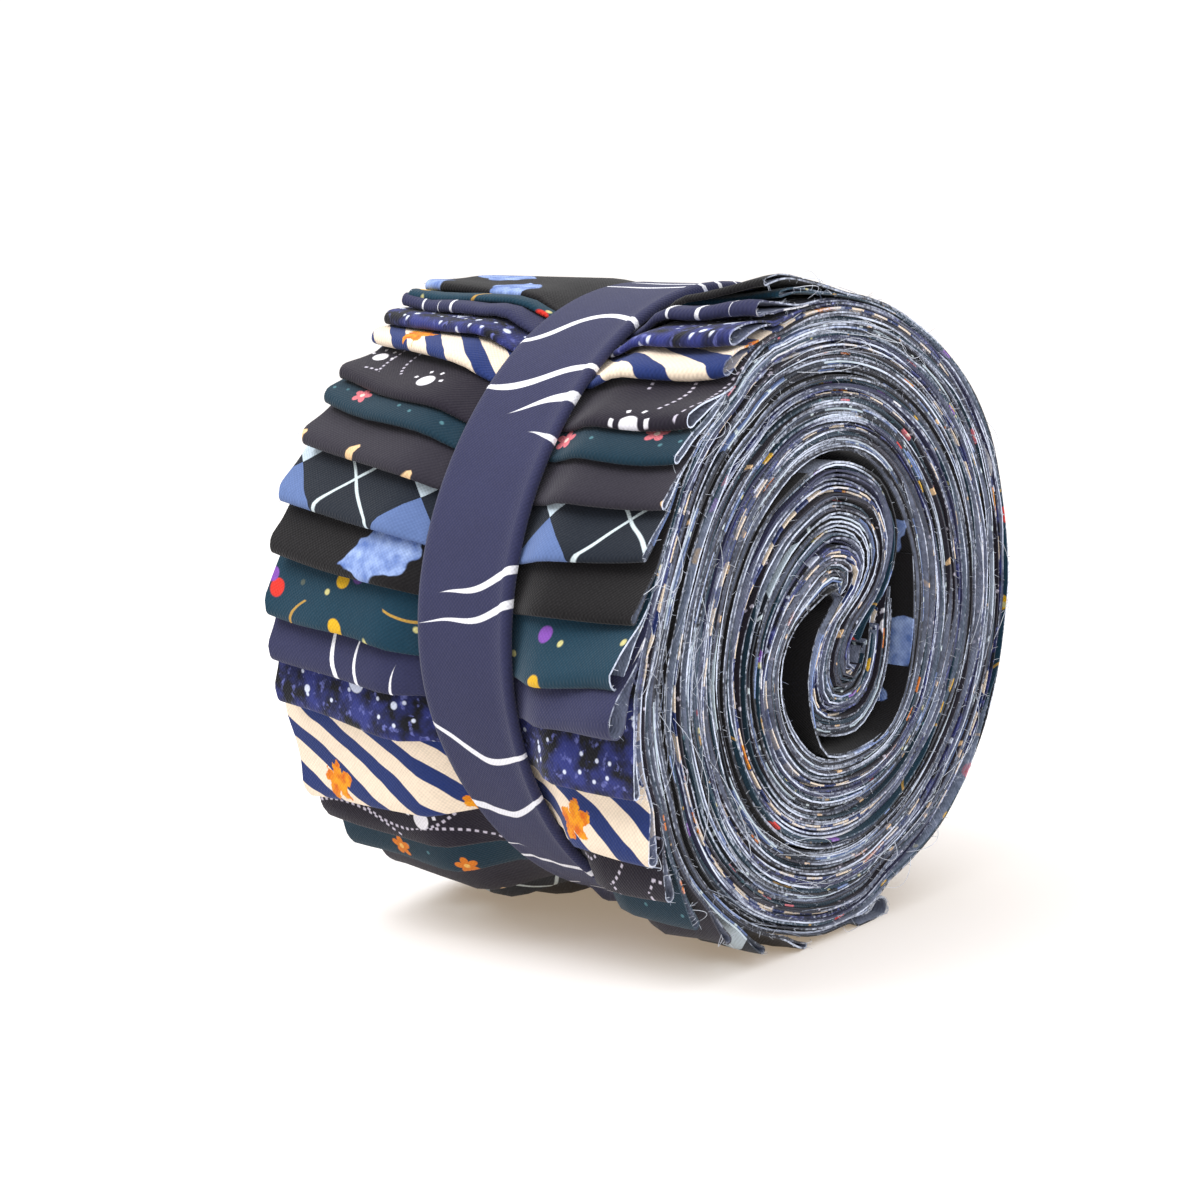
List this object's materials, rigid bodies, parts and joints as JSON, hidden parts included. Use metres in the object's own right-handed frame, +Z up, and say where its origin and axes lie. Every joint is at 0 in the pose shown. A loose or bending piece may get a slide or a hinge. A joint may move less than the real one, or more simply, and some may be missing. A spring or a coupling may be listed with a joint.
{
  "type": "roll of quilting fabric strips",
  "caption": "Roll of precut patchwork cloth strips, folded in half, stacked with shingled folds, wound into a spiral drum and held by a cloth band.",
  "frame": {"origin": "on the surface that the roll stands on, under the middle of its bounding box", "axes": "+X along the roll's axis, towards the face that the picture shows; +Z up; the strips' folds show on the -Y side"},
  "size_m": [0.0636, 0.0975, 0.0954],
  "materials": {
    "strip_cloth": "matt plain-weave cotton in many prints, seen edge on at both faces as pale cut edges",
    "band_cloth": "matt plain-weave cotton, dark violet-blue with thin white curved lines"
  },
  "bodies": {
    "root": {"wound_strips": "strip_cloth", "tie_band": "band_cloth"}
  },
  "joints": []
}
